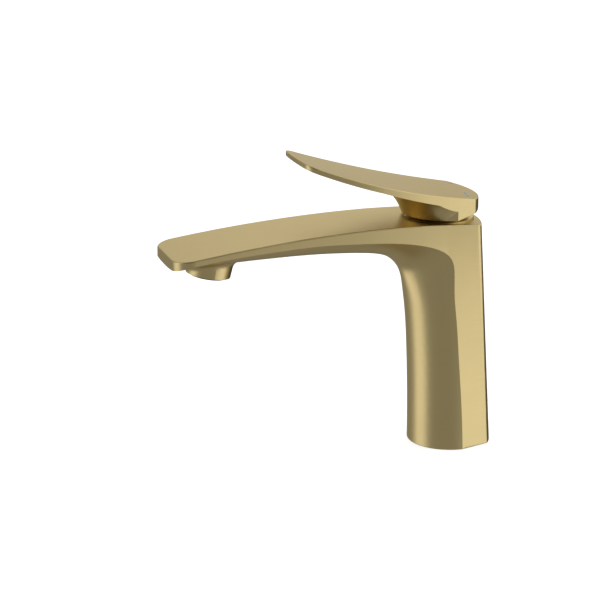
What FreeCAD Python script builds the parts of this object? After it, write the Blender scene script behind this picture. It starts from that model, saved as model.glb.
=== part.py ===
import FreeCAD, Part
import math
import operator
import os
import Sketcher
from FreeCAD import Placement, Rotation, Vector

# A single-lever basin mixer: one brass casting that is column and spout at once, a leaf-shaped
# lever on top of it, a 35 mm ceramic-disc cartridge inside and an aerator in the outlet.
# Millimetres, +Z up, spout towards -Y. The origin is the middle of the column's round front,
# on the face that rests on the basin.

doc = FreeCAD.newDocument("BasinMixer")
sheet = doc.addObject("Spreadsheet::Sheet", "Dims")

DIMENSIONS = [
    # body casting
    ("column_radius", 24.2, "round front of the column"),
    ("facet_start", 1.0, "Y where the flat side facet begins at the foot"),
    ("foot_rear_half", 19.5, "half width between the rear corners at the foot"),
    ("foot_rear_y", 18.5, "Y of the rear corners at the foot"),
    ("back_bow", 6.4, "how far the rear face bows out between its corners"),
    ("facet_bend", 60.0, "length over which the facet turns parallel to the spout"),
    ("crown_z", 140.9, "highest line of the body's arched top"),
    ("crown_y", -50.0, "Y of that line"),
    ("crown_rear_radius", 600.0, "arch behind the joint of its two arcs"),
    ("crown_front_radius", 900.0, "arch in front of that joint"),
    ("crown_joint_y", -60.0, "Y where the two arcs of the arch meet"),
    ("top_rear_half", 23.4, "half width between the rear corners at the top"),
    ("top_rear_y", 8.6, "Y of the rear corners at the top"),
    ("shoulder_half", 23.5, "half width of the top where the facet ends"),
    ("shoulder_y", -13.0, "Y of that place at the top"),
    ("spout_half", 24.5, "half width of the spout's front"),
    ("spout_tip_y", -174.8, "front edge of the spout"),
    ("tip_corner", 11.0, "plan rounding of the spout's front corners"),
    ("rear_corner", 3.2, "rounding of the rear corners"),
    ("edge_round", 0.8, "small rounding along the top edge"),
    # outlet
    ("outlet_y", -149.5, "Y of the outlet's axis"),
    ("outlet_rim_z", 117.3, "middle of the outlet's lower rim"),
    ("outlet_rim_radius", 12.9, "outside of the rim"),
    ("outlet_flare", 1.6, "how much wider the outlet is at its root"),
    ("outlet_tilt", 10.0, "how far the outlet points forward from straight down, in degrees"),
    ("outlet_height", 18.0, "length of the outlet along its axis, up into the spout"),
    ("outlet_top_drop", 9.9, "top of the outlet's core below the crown"),
    ("outlet_blend", 5.0, "rounding between outlet and spout"),
    ("aerator_thread_radius", 10.75, "M21.5 x 1 socket for the aerator"),
    ("aerator_depth", 9.5, "depth of that socket"),
    ("aerator_drop", 1.0, "how far the aerator stands out below the rim"),
    ("aerator_bore", 9.2, "inside of the aerator housing"),
    ("aerator_seal_height", 1.5, "height of the aerator's washer"),
    ("grid_height", 1.8, "height of the outlet grid"),
    ("grid_bar", 0.7, "width of the grids' bars"),
    ("grid_pitch", 2.5, "distance between those bars"),
    ("straightener_height", 2.6, "height of the flow straightener"),
    ("diffuser_height", 2.2, "thickness of the diffuser plate"),
    ("jet_radius", 0.9, "jet holes of the diffuser"),
    ("screen_height", 1.0, "height of the inlet screen"),
    ("waterway_radius", 3.8, "bore that brings the water to the outlet"),
    ("waterway_knee_y", -52.0, "Y where that bore bends from the column into the spout"),
    ("waterway_knee_drop", 9.4, "bend of the bore below the crown"),
    ("waterway_end_drop", 11.7, "end of the bore below the crown, over the outlet"),
    ("throat_radius", 6.8, "short bore between the waterway and the aerator"),
    ("throat_depth", 12.0, "upper end of that bore above the rim"),
    ("waterway_start_z", 113.0, "height where the bore leaves the cartridge chamber"),
    # foot
    ("foot_bore", 19.0, "radius of the hollow in the foot"),
    ("foot_depth", 50.0, "depth of that hollow"),
    ("seal_groove_inner", 20.1, "inner radius of the foot seal"),
    ("seal_groove_outer", 22.3, "outer radius of the foot seal"),
    ("seal_height", 1.8, "height of the foot seal"),
    ("inlet_thread_radius", 4.5, "M10 x 1 threads for the two supply hoses"),
    ("inlet_thread_depth", 14.0, "depth of those threads"),
    ("inlet_bore", 3.0, "water channels from the inlets to the cartridge"),
    ("stud_thread_radius", 3.4, "M8 thread for the fixing stud"),
    ("stud_thread_depth", 18.0, "depth of that thread"),
    ("stud_y", 8.0, "Y of the fixing stud"),
    # cartridge chamber
    ("axis_y", -8.0, "Y of the cartridge's and the lever's upright axis"),
    ("chamber_floor", 99.0, "floor of the cartridge chamber"),
    ("chamber_radius", 17.9, "bore of the chamber"),
    ("relief_radius", 19.2, "water space around the lower cartridge"),
    ("relief_low", 102.5, "underside of the water space"),
    ("relief_high", 118.5, "top of the water space"),
    ("nut_thread_radius", 18.9, "M38 thread of the retaining nut"),
    ("nut_seat", 127.0, "shoulder that the nut clamps down"),
    ("nut_top", 136.0, "top of the nut"),
    ("cover_seat", 137.2, "floor of the recess under the dome cover"),
    ("cover_radius", 20.5, "outside of the dome cover"),
    ("cover_opening", 12.5, "opening of the dome cover"),
    ("cover_skirt_top", 139.8, "top of the cover's upright skirt"),
    ("cover_top", 142.8, "top of the dome cover"),
    ("cover_foot", 138.2, "underside of the cover's skirt"),
    ("cover_wall", 1.2, "wall of the dome cover"),
    ("cover_collar", 16.2, "inner radius of the collar that stands on the nut"),
    ("cover_bow", 0.6, "bow of the dome above a straight cone"),
    ("fit_gap", 0.05, "radial running clearance"),
    # cartridge
    ("port_pitch", 14.0, "distance between the hot and cold ports"),
    ("port_y", -4.5, "hot and cold ports in front of the axis"),
    ("outlet_port_y", 5.5, "outlet port behind the axis"),
    ("port_radius", 2.9, "bore of the three ports"),
    ("base_low", 99.6, "underside of the cartridge base"),
    ("disc_seat", 106.0, "seat of the fixed ceramic disc"),
    ("base_high", 111.0, "rim of the cartridge base"),
    ("disc_meet", 110.5, "plane where the two ceramic discs meet"),
    ("upper_disc_top", 114.0, "top of the moving ceramic disc"),
    ("housing_radius", 17.4, "outside of the cartridge"),
    ("peg_radius", 1.6, "locating pegs of the cartridge base"),
    ("peg_length", 2.0, "pegs below the base"),
    ("peg_x", 11.5, "pegs beside the axis"),
    ("peg_y", 5.0, "pegs behind the axis"),
    ("seal_ring_radius", 4.2, "outside of the port seals"),
    ("seal_pocket", 1.5, "depth of the port seals' pockets"),
    ("fixed_disc_radius", 13.8, "fixed ceramic disc"),
    ("moving_disc_radius", 11.3, "moving ceramic disc"),
    ("pocket_width", 16.0, "mixing pocket across the moving disc"),
    ("pocket_front", 3.1, "mixing pocket in front of the disc's middle"),
    ("pocket_rear", 6.6, "mixing pocket behind the disc's middle"),
    ("pocket_height", 1.6, "height of the mixing pocket"),
    ("driver_radius", 12.3, "outside of the disc driver"),
    ("driver_lip", 2.0, "lip of the driver around the moving disc"),
    ("tongue_width", 12.0, "guide tongue of the driver"),
    ("tongue_length", 16.0, "length of that tongue"),
    ("ring_section", 1.1, "radius of the housing O-ring's section"),
    ("ring_land", 2.5, "housing between the water space and the O-ring"),
    ("stem_slot_reach", 6.2, "half length of the slot for the stem"),
    ("eye_radius", 5.0, "round eye of the stem about the pivot"),
    ("finger_radius", 2.4, "finger below the pivot"),
    ("limit_ring_height", 1.8, "height of the temperature limit ring"),
    ("nut_notch_width", 3.0, "spanner notches of the nut"),
    ("nut_notch_depth", 1.5, "depth of those notches"),
    ("nut_notch_radius", 17.0, "inner end of those notches"),
    ("housing_cavity", 14.6, "inside of the cartridge around the discs"),
    ("carrier_radius", 13.9, "journal of the swivel carrier"),
    ("carrier_flange", 14.4, "flange that keeps the carrier in"),
    ("carrier_low", 118.9, "underside of the carrier"),
    ("flange_high", 120.4, "top of the carrier's flange"),
    ("neck_radius", 15.5, "outside of the cartridge's upper neck"),
    ("neck_top", 136.5, "top of the carrier's bearing"),
    ("pivot_z", 132.0, "height of the lever's lift pivot"),
    ("pin_radius", 1.5, "lift pivot pin"),
    ("pin_length", 26.0, "length of the pivot pin"),
    ("stem_width", 8.0, "square stem, across the flats"),
    ("stem_reach", 20.0, "stem above the pivot"),
    ("finger_reach", 12.0, "stem below the pivot, to the middle of its ball"),
    ("ball_radius", 3.0, "ball that moves the disc driver"),
    ("stem_lean", 9.0, "forward lean of the closed stem; full lift leans it back as far"),
    # lever
    ("lever_tip_y", -98.1, "front end of the lever"),
    ("lever_end_half", 22.1, "half width of the lever's front end, before its rounding"),
    ("lever_end_bow", 2.2, "bow of the front end"),
    ("lever_end_corner", 8.0, "plan rounding of the front corners"),
    ("lever_wide_half", 27.8, "largest half width of the lever"),
    ("lever_wide_y", -53.4, "Y of the widest place"),
    ("lever_rear_half", 22.6, "half width between the lever's rear corners"),
    ("lever_rear_y", 5.7, "Y of the lever's rear corners"),
    ("lever_bow", 8.2, "bow of the lever's rear face"),
    ("lever_corner", 3.0, "rounding of the lever's rear corners"),
    ("lever_joint_z", 166.8, "height of the lever's top at the widest place"),
    ("lever_slope", 16.0, "rise of the top there, in degrees"),
    ("lever_top_radius", 498.0, "hollow arc of the lever's top"),
    ("blade_back", 7.4, "upright thickness of the blade carried on to the rear face"),
    ("blade_root", 3.8, "upright thickness of the blade at the joint"),
    ("blade_tip", 3.0, "upright thickness of the blade at its end"),
    ("lever_low_z", 141.7, "underside of the lever's hub at the axis"),
    ("lever_low_slope", 1.5, "rise of that underside towards the front, in degrees"),
    ("undercut_y", -7.0, "Y where the underside turns up to the rear"),
    ("undercut_slope", 15.0, "rise of the rear underside, in degrees"),
    ("hub_radius", 22.0, "round nose of the hub, at its underside"),
    ("hub_neck_radius", 23.5, "the nose where its flare begins"),
    ("hub_neck_height", 3.6, "that place above the underside"),
    ("hub_flare_radius", 40.0, "radius where the hub's flare meets the blade"),
    ("hub_flare_z", 160.0, "height of that place"),
    ("hub_flare_bow", 2.5, "hollow of the flare below its straight line"),
    ("hub_side_y", -6.0, "Y where the hub's rear sides reach the leaf's outline"),
    ("lever_cavity_top", 147.0, "ceiling of the hollow over the dome cover"),
    ("lever_cavity_radius", 22.3, "hollow around the dome cover, about the pivot"),
    ("socket_boss_radius", 9.5, "boss around the stem's socket"),
    ("socket_boss_low", 143.6, "underside of that boss"),
    ("grub_radius", 2.0, "M4 grub screw"),
    ("grub_length", 8.0, "length of the grub screw"),
    ("grub_z", 149.4, "height of the grub screw"),
    ("plug_radius", 2.4, "cap over the grub screw"),
    ("plug_depth", 3.0, "length of that cap"),
    ("plug_inset", 0.5, "cap below the lever's rear face"),
    ("hex_radius", 1.15, "hexagon socket, across the corners, halved"),
    ("lever_edge", 0.7, "small rounding along the lever's upper edge"),
]


class Size:
    """A number that knows the sheet formula it comes from, so that it can drive a property."""

    def __init__(self, value, formula):
        self.value = value
        self.formula = formula

    def __add__(self, other):
        return combine(self, "+", other)

    def __radd__(self, other):
        return combine(other, "+", self)

    def __sub__(self, other):
        return combine(self, "-", other)

    def __rsub__(self, other):
        return combine(other, "-", self)

    def __mul__(self, other):
        return combine(self, "*", other)

    def __rmul__(self, other):
        return combine(other, "*", self)

    def __truediv__(self, other):
        return combine(self, "/", other)

    def __neg__(self):
        return combine(0, "-", self)


SIGNS = {"+": operator.add, "-": operator.sub, "*": operator.mul, "/": operator.truediv}


def size(number):
    return number if isinstance(number, Size) else Size(float(number), f"{float(number):.6f}")


def combine(left, sign, right):
    left, right = size(left), size(right)
    formula = f"({left.formula} {sign} {right.formula})"
    return Size(SIGNS[sign](left.value, right.value), formula)


def root(number):
    return Size(math.sqrt(number.value), f"sqrt({number.formula})")


def sine(degrees):
    return Size(math.sin(math.radians(degrees.value)), f"sin({degrees.formula})")


def cosine(degrees):
    return Size(math.cos(math.radians(degrees.value)), f"cos({degrees.formula})")


def tangent(degrees):
    return Size(math.tan(math.radians(degrees.value)), f"tan({degrees.formula})")


def bow_radius(half_chord, bow):
    """Radius of the arc over a chord that stands out by bow in its middle."""
    return (half_chord * half_chord + bow * bow) / (2 * bow)


class Dims:
    """Every cell of the sheet, by its alias."""


for row, (alias, number, note) in enumerate(DIMENSIONS, start=1):
    sheet.set(f"A{row}", alias)
    sheet.set(f"B{row}", str(number))
    sheet.set(f"C{row}", note)
    sheet.setAlias(f"B{row}", alias)
    setattr(Dims, alias, Size(number, f"Dims.{alias}"))
doc.recompute()

X_AXIS = Vector(1, 0, 0)
Y_AXIS = Vector(0, 1, 0)
Z_AXIS = Vector(0, 0, 1)
UPRIGHT = Rotation()
ALONG = {"Z": UPRIGHT, "Y": Rotation(X_AXIS, -90), "X": Rotation(Y_AXIS, 90)}
SIDE_VIEW = Rotation(Y_AXIS, Z_AXIS, X_AXIS, "ZXY")  # sketch x is Y, sketch y is Z
AXIS = (0, Dims.axis_y, 0)


def drive(thing, **sizes):
    for name, number in sizes.items():
        thing.setExpression(name, size(number).formula)


def place(thing, at, rotation=UPRIGHT, turn=None):
    """Puts a thing at a driven place; turn is a driven angle about +X."""
    spot = [size(number) for number in at]
    if turn is not None:
        rotation = Rotation(X_AXIS, size(turn).value)
    thing.Placement = Placement(Vector(*[number.value for number in spot]), rotation)
    for letter, number in zip("xyz", spot):
        thing.setExpression(f"Placement.Base.{letter}", number.formula)
    if turn is not None:
        thing.setExpression("Placement.Rotation.Angle", size(turn).formula)
    return thing


def cylinder(name, radius, length, at, along="Z", turn=None):
    rod = doc.addObject("Part::Cylinder", name)
    drive(rod, Radius=radius, Height=length)
    return place(rod, at, ALONG[along], turn)


def cone(name, low_radius, high_radius, height, at, turn=None):
    taper = doc.addObject("Part::Cone", name)
    drive(taper, Radius1=low_radius, Radius2=high_radius, Height=height)
    return place(taper, at, turn=turn)


def sphere(name, radius, at):
    ball = doc.addObject("Part::Sphere", name)
    drive(ball, Radius=radius)
    return place(ball, at)


def block(name, width, y_low, y_high, z_low, z_high, x_middle=0):
    """A box that is centred across X."""
    brick = doc.addObject("Part::Box", name)
    drive(brick, Length=width, Width=size(y_high) - y_low, Height=size(z_high) - z_low)
    return place(brick, (x_middle - size(width) / 2, y_low, z_low))


def fuse(name, *things):
    joined = doc.addObject("Part::MultiFuse", name)
    joined.Shapes = list(things)
    return joined


def common(name, *things):
    shared = doc.addObject("Part::MultiCommon", name)
    shared.Shapes = list(things)
    return shared


def cut(name, base, *tools):
    rest = doc.addObject("Part::Cut", name)
    rest.Base = base
    rest.Tool = tools[0] if len(tools) == 1 else fuse(name + "_tools", *tools)
    return rest


def outline(sketch, corners, arcs=None):
    """Closed outline through driven corners. arcs maps the edge that leaves a corner to its
    driven radius: positive bows to the right of the way round, negative to the left."""
    arcs = arcs or {}
    points = [(size(x), size(y)) for x, y in corners]
    flat = [Vector(x.value, y.value, 0) for x, y in points]
    ends = []
    for edge, start in enumerate(flat):
        finish = flat[(edge + 1) % len(flat)]
        if edge not in arcs:
            sketch.addGeometry(Part.LineSegment(start, finish), False)
            ends.append((1, 2))
            continue
        radius = size(arcs[edge]).value
        chord = finish - start
        reach = math.sqrt(radius ** 2 - (chord.Length / 2) ** 2)
        left = Vector(-chord.y, chord.x, 0).normalize()
        centre = (start + finish) / 2 + left * math.copysign(reach, radius)
        begin = math.atan2(start.y - centre.y, start.x - centre.x)
        stop = math.atan2(finish.y - centre.y, finish.x - centre.x)
        anticlockwise = radius > 0
        if not anticlockwise:
            begin, stop = stop, begin
        circle = Part.Circle(centre, Z_AXIS, abs(radius))
        sketch.addGeometry(Part.ArcOfCircle(circle, begin, stop), False)
        ends.append((1, 2) if anticlockwise else (2, 1))
    for edge in range(len(flat)):
        after = (edge + 1) % len(flat)
        join = Sketcher.Constraint("Coincident", edge, ends[edge][1], after, ends[after][0])
        sketch.addConstraint(join)
    for edge, corner in enumerate(points):
        for kind, number in zip(("DistanceX", "DistanceY"), corner):
            rule = Sketcher.Constraint(kind, -1, 1, edge, ends[edge][0], number.value)
            index = sketch.addConstraint(rule)
            sketch.setExpression(f"Constraints[{index}]", number.formula)
    for edge, radius in arcs.items():
        radius = size(radius)
        rule = Sketcher.Constraint("Radius", edge, abs(radius.value))
        index = sketch.addConstraint(rule)
        sketch.setExpression(f"Constraints[{index}]", f"abs({radius.formula})")


def free_sketch(name, at, rotation, corners, arcs=None):
    sketch = doc.addObject("Sketcher::SketchObject", name)
    outline(sketch, corners, arcs)
    return place(sketch, at, rotation)


def extrude(name, sketch, length, symmetric):
    prism = doc.addObject("Part::Extrusion", name)
    prism.Base = sketch
    prism.DirMode = "Normal"
    prism.Solid = True
    prism.Symmetric = symmetric
    drive(prism, LengthFwd=length)
    return prism


def plane_of(body, role):
    return next(item for item in body.Origin.OriginFeatures if item.Role == role)


def body_sketch(body, name, role, corners, arcs=None, offset=0):
    sketch = body.newObject("Sketcher::SketchObject", name)
    sketch.AttachmentSupport = (plane_of(body, role), [""])
    sketch.MapMode = "FlatFace"
    sketch.AttachmentOffset = Placement(Vector(0, 0, size(offset).value), UPRIGHT)
    sketch.setExpression("AttachmentOffset.Base.z", size(offset).formula)
    outline(sketch, corners, arcs)
    return sketch


def turned(name, corners, at=AXIS, arcs=None):
    """A lathe-turned PartDesign body: its outline gives radius and height about +Z."""
    body = doc.addObject("PartDesign::Body", name)
    sketch = body_sketch(body, name + "_section", "XZ_Plane", corners, arcs)
    doc.recompute()
    turning = body.newObject("PartDesign::Revolution", name + "_turned")
    turning.Profile = sketch
    turning.ReferenceAxis = (sketch, ["V_Axis"])
    turning.Angle = 360
    return place(body, at)


def ring(name, inner, outer, low, high, at=AXIS):
    return turned(name, [(inner, low), (outer, low), (outer, high), (inner, high)], at)


def disc(name, radius, low, high, at=AXIS):
    return turned(name, [(0, low), (radius, low), (radius, high), (0, high)], at)


def edges_where(shape, wanted):
    return [number for number, edge in enumerate(shape.Edges, start=1) if wanted(edge)]


def round_edges(name, base, radius, wanted):
    """Rolls a rounding along the edges that wanted() picks from the base's shape."""
    doc.recompute()
    rounded = doc.addObject("Part::Fillet", name)
    rounded.Base = base
    picked = edges_where(base.Shape, wanted)
    assert picked, f"{name} found no edge"
    rounded.Edges = [(number, radius.value, radius.value) for number in picked]
    return rounded


NODES = {}


def node(name, thing):
    thing.Label = name
    NODES[name] = thing
    return thing


def middle(edge):
    return edge.valueAt((edge.FirstParameter + edge.LastParameter) / 2)


def upright_edge(edge):
    ends = [vertex.Point for vertex in edge.Vertexes]
    return len(ends) == 2 and abs(ends[0].z - ends[1].z) > 0.9 * edge.Length


def heading(run_y, rise_z):
    """Angle about +X that turns an upright rod to the direction (0, run_y, rise_z)."""
    run, rise = -size(run_y), size(rise_z)
    angle = math.degrees(math.atan2(run.value, rise.value))
    return Size(angle, f"atan2({run.formula}; {rise.formula})")


def rod_between(name, radius, start, finish):
    """A round rod in the plane of symmetry between two (Y, Z) points, with a ball at its end."""
    run, rise = size(finish[0]) - start[0], size(finish[1]) - start[1]
    length = root(run * run + rise * rise)
    rod = cylinder(name, radius, length, (0, *start), turn=heading(run, rise))
    return fuse(name + "_run", rod, sphere(name + "_end", radius, (0, *finish)))


# --- body: column and spout in one brass casting -------------------------------------------

# Plan of the column's foot and of the top, from which the flat sides are ruled.
foot_dx = Dims.column_radius - Dims.foot_rear_half
foot_dy = Dims.foot_rear_y - Dims.facet_start
facet_length = root(foot_dx * foot_dx + foot_dy * foot_dy)
bend_radius = Dims.facet_bend * facet_length / foot_dx
bend_half = Dims.column_radius + bend_radius * (1 - foot_dy / facet_length)
bend_y = Dims.facet_start - Dims.facet_bend
blank_top = Dims.crown_z + 1
middle_half = (Dims.shoulder_half * 2 + Dims.spout_half) / 3


def mirrored(right_side):
    """The right side of an outline, then the same points on the left in reverse."""
    return right_side + [(-x, y) for x, y in reversed(right_side)]


foot_plan = free_sketch("foot_plan", (0, 0, 0), UPRIGHT, mirrored([
    (bend_half, Dims.spout_tip_y),
    (bend_half, bend_y),
    (Dims.column_radius, Dims.facet_start),
    (Dims.foot_rear_half, Dims.foot_rear_y),
]), {1: bend_radius, 3: bow_radius(Dims.foot_rear_half, Dims.back_bow), 5: bend_radius})
top_plan = free_sketch("top_plan", (0, 0, blank_top), UPRIGHT, mirrored([
    (Dims.spout_half, Dims.spout_tip_y),
    (middle_half, Dims.crown_joint_y),
    (Dims.shoulder_half, Dims.shoulder_y),
    (Dims.top_rear_half, Dims.top_rear_y),
]), {3: bow_radius(Dims.top_rear_half, Dims.back_bow)})
sides = doc.addObject("Part::Loft", "sides")
sides.Sections = [foot_plan, top_plan]
sides.Solid = True
sides.Ruled = True
doc.recompute()


def rear_corner_edge(edge):
    return upright_edge(edge) and edge.CenterOfMass.y > Dims.axis_y.value + 10


def tip_corner_edge(edge):
    return upright_edge(edge) and edge.CenterOfMass.y < Dims.outlet_y.value


sides_rear = round_edges("sides_rear", sides, Dims.rear_corner, rear_corner_edge)
sides_round = round_edges("sides_round", sides_rear, Dims.tip_corner, tip_corner_edge)

# Side view: everything below the arched top.
arch_low = -30.0
arch_rear_y = 40.0
arch_front_y = Dims.spout_tip_y - 10


def rear_arch_z(y):
    """Height of the arch behind its joint."""
    run = size(y) - Dims.crown_y
    radius = Dims.crown_rear_radius
    return Dims.crown_z - radius + root(radius * radius - run * run)


joint_z = rear_arch_z(Dims.crown_joint_y)
joint_lean = (Dims.crown_joint_y - Dims.crown_y) / Dims.crown_rear_radius
front_centre_y = Dims.crown_joint_y - joint_lean * Dims.crown_front_radius
front_centre_z = joint_z - Dims.crown_front_radius * root(1 - joint_lean * joint_lean)


def front_arch_z(y):
    """Height of the arch in front of its joint."""
    run = size(y) - front_centre_y
    radius = Dims.crown_front_radius
    return front_centre_z + root(radius * radius - run * run)


under_arch_view = free_sketch("under_arch_view", (0, 0, 0), SIDE_VIEW, [
    (arch_front_y, arch_low),
    (arch_rear_y, arch_low),
    (arch_rear_y, rear_arch_z(arch_rear_y)),
    (Dims.crown_joint_y, joint_z),
    (arch_front_y, front_arch_z(arch_front_y)),
], {2: Dims.crown_rear_radius, 3: Dims.crown_front_radius})
under_arch = extrude("under_arch", under_arch_view, 120, True)


def between(low, high, share):
    return low + share * (high - low)


def side_half(y, z):
    """Half width of the ruled sides at a place on them."""
    rise = z / blank_top.value
    seam_y = between(Dims.facet_start.value, Dims.shoulder_y.value, rise)
    joint_y = between(bend_y.value, Dims.crown_joint_y.value, rise)
    if y > seam_y:
        rear_y = between(Dims.foot_rear_y.value, Dims.top_rear_y.value, rise)
        share = (y - seam_y) / (rear_y - seam_y)
        foot_half = between(Dims.column_radius.value, Dims.foot_rear_half.value, share)
        top_half = between(Dims.shoulder_half.value, Dims.top_rear_half.value, share)
    elif y > joint_y:
        share = (seam_y - y) / (seam_y - joint_y)
        lag = math.asin(foot_dx.value / facet_length.value)
        sweep = math.cos(lag * (1 - share)) - math.cos(lag)
        foot_half = Dims.column_radius.value + bend_radius.value * sweep
        top_half = between(Dims.shoulder_half.value, middle_half.value, share)
    else:
        share = (joint_y - y) / (joint_y - Dims.spout_tip_y.value)
        foot_half = bend_half.value
        top_half = between(middle_half.value, Dims.spout_half.value, share)
    return between(foot_half, top_half, rise)


# The rounded front sweeps from the column into the underside of the spout. Each station is a
# cross-section between the crease, where it meets the flat sides, and the keel, its middle:
# crease Y and Z, keel Y and Z, and the flare of its flanks in degrees.
def column_station(share, crease_y, keel_lean, flare):
    height = share * Dims.crown_z.value
    return crease_y, height, -Dims.column_radius.value - keel_lean, height, flare


def elbow_station(crease_y, crease_drop, keel_lean, keel_drop, flare):
    crown = Dims.crown_z.value
    keel_y = -Dims.column_radius.value - keel_lean
    return crease_y, crown - crease_drop, keel_y, crown - keel_drop, flare


def spout_station(share, crease_drop, keel_drop, flare):
    start, crown = Dims.crown_joint_y.value, Dims.crown_z.value
    y = start + share * (Dims.spout_tip_y.value - start)
    return y, crown - crease_drop, y, crown - keel_drop, flare


STATIONS = [
    column_station(-0.01, 0.0, 0.1, 0.0),
    column_station(0.2, -1.2, 0.4, 2.0),
    column_station(0.4, -3.4, 1.3, 5.0),
    column_station(0.57, -5.3, 2.9, 9.0),
    elbow_station(-7.1, 37.9, 5.2, 43.9, 14.0),
    elbow_station(-10.3, 20.5, 7.7, 34.0, 24.0),
    elbow_station(-23.1, 13.4, 11.1, 28.0, 33.0),
    elbow_station(-36.9, 10.2, 17.3, 22.9, 38.0),
    spout_station(0.0, 7.8, 18.7, 42.0),
    spout_station(0.25, 6.5, 16.9, 43.0),
    spout_station(0.52, 7.5, 16.4, 45.0),
    spout_station(0.78, 9.7, 16.3, 50.0),
    spout_station(1.06, 13.8, 15.6, 60.0),
]
FLANK_OVERRUN = 1.5
FLANK_REACH = 55.0


def section_poles(crease_y, crease_z, keel_y, keel_z, flare):
    """Control points of one station, from flank end to flank end: a straight flank, the two
    halves of the rounded keel, and the other flank, each a cubic span."""
    crease = Vector(0, crease_y, crease_z)
    keel = Vector(0, keel_y, keel_z)
    depth = (crease - keel).Length
    inward = (crease - keel).normalize()
    half = side_half(crease_y, crease_z)
    flare = math.radians(flare)
    turning = math.cos((math.pi / 2 - flare) / 2)
    pull = 4 / 3 * turning / (1 + turning)
    halves = []
    for side in (-1, 1):
        flank = X_AXIS * side * math.sin(flare) + inward * math.cos(flare)
        shoulder = crease + X_AXIS * side * half + flank * FLANK_OVERRUN
        corner = keel + X_AXIS * side * (half - depth * math.tan(flare))
        halves.append([
            shoulder + flank * FLANK_REACH,
            shoulder + flank * FLANK_REACH * 2 / 3,
            shoulder + flank * FLANK_REACH / 3,
            shoulder,
            shoulder + (corner - shoulder) * pull,
            keel + (corner - keel) * pull,
        ])
    return halves[0] + [keel] + halves[1][::-1]


def skin(rows):
    """Closed solid whose rounded side runs smoothly through the stations' control points."""
    waist = [(row[3] + row[6]) / 2 for row in rows]
    travel = [0.0]
    for before, after in zip(waist, waist[1:]):
        travel.append(travel[-1] + (after - before).Length)
    lines = []
    for column in zip(*rows):
        line = Part.BSplineCurve()
        line.interpolate(Points=list(column), Parameters=travel)
        lines.append(line)
    spans = (len(rows[0]) - 1) // 3
    surface = Part.BSplineSurface()
    surface.buildFromPolesMultsKnots(
        [line.getPoles() for line in lines],
        [4] + [3] * (spans - 1) + [4],
        lines[0].getMultiplicities(),
        [float(knot) for knot in range(spans + 1)],
        lines[0].getKnots(),
        False, False, 3, 3,
    )
    faces = [surface.toShape(), Part.makeRuledSurface(lines[0].toShape(), lines[-1].toShape())]
    for station in (travel[0], travel[-1]):
        rim = surface.vIso(station)
        closing = Part.makeLine(rim.value(float(spans)), rim.value(0.0))
        faces.append(Part.Face(Part.Wire([rim.toShape(), closing])))
    shell = Part.makeShell(faces)
    shell.sewShape()
    solid = Part.Solid(shell)
    if solid.Volume < 0:
        solid.reverse()
    return solid


belly = doc.addObject("Part::Feature", "belly")
belly.Shape = skin([section_poles(*station) for station in STATIONS])

blank = common("blank", sides_round, under_arch, belly)


def top_edge(edge):
    """An edge that lies along the arched top."""
    spot = middle(edge)
    arch = front_arch_z(spot.y) if spot.y < Dims.crown_joint_y.value else rear_arch_z(spot.y)
    crosses = abs(spot.x) < 1 and edge.BoundBox.YLength < 1 and spot.y > Dims.outlet_y.value
    return abs(spot.z - arch.value) < 0.05 and not (crosses and spot.y < 0)


def foot_edge(edge):
    return edge.BoundBox.ZMax < 0.01


blank_edged = round_edges("blank_edged", blank, Dims.edge_round, top_edge)
blank_footed = round_edges("blank_footed", blank_edged, Dims.edge_round, foot_edge)

# Outlet under the spout, tipped forward and blended into it.
outlet_rim = (0, Dims.outlet_y, Dims.outlet_rim_z)
outlet_turn = -Dims.outlet_tilt
outlet_cone = cone(
    "outlet_cone", Dims.outlet_rim_radius, Dims.outlet_rim_radius + Dims.outlet_flare,
    Dims.outlet_height, outlet_rim, outlet_turn)
outlet_span = block("outlet_span", 60, Dims.outlet_y - 30, Dims.outlet_y + 30,
                    Dims.outlet_rim_z - 10, Dims.crown_z - Dims.outlet_top_drop)
outlet_core = common("outlet_core", outlet_cone, outlet_span)
with_outlet = fuse("with_outlet", blank_footed, outlet_core)


def outlet_root_edge(edge):
    spot = middle(edge)
    reach = math.hypot(spot.x, spot.y - Dims.outlet_y.value)
    inside = reach < Dims.outlet_rim_radius.value + Dims.outlet_flare.value + 4
    lowest, highest = Dims.outlet_rim_z.value + 4, Dims.crown_z.value - 8
    return inside and lowest < spot.z < highest and edge.BoundBox.DiagonalLength > 5


blended = round_edges("blended", with_outlet, Dims.outlet_blend, outlet_root_edge)

# Hollow foot with the inlets, the stud and the groove of its seal.
foot_hollow = cylinder("foot_hollow", Dims.foot_bore, Dims.foot_depth + 1, (0, 0, -1))
foot_groove = ring("foot_groove", Dims.seal_groove_inner, Dims.seal_groove_outer,
                   -1, Dims.seal_height, (0, 0, 0))
stud_hole = cylinder("stud_hole", Dims.stud_thread_radius, Dims.stud_thread_depth,
                     (0, Dims.stud_y, Dims.foot_depth))
inlet_y = Dims.axis_y + Dims.port_y
waterways = []
for side, name in ((-1, "hot"), (1, "cold")):
    x = side * Dims.port_pitch / 2
    waterways.append(cylinder(name + "_inlet", Dims.inlet_thread_radius,
                              Dims.inlet_thread_depth, (x, inlet_y, Dims.foot_depth)))
    waterways.append(cylinder(name + "_channel", Dims.inlet_bore,
                              Dims.chamber_floor - Dims.foot_depth, (x, inlet_y, Dims.foot_depth)))

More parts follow.
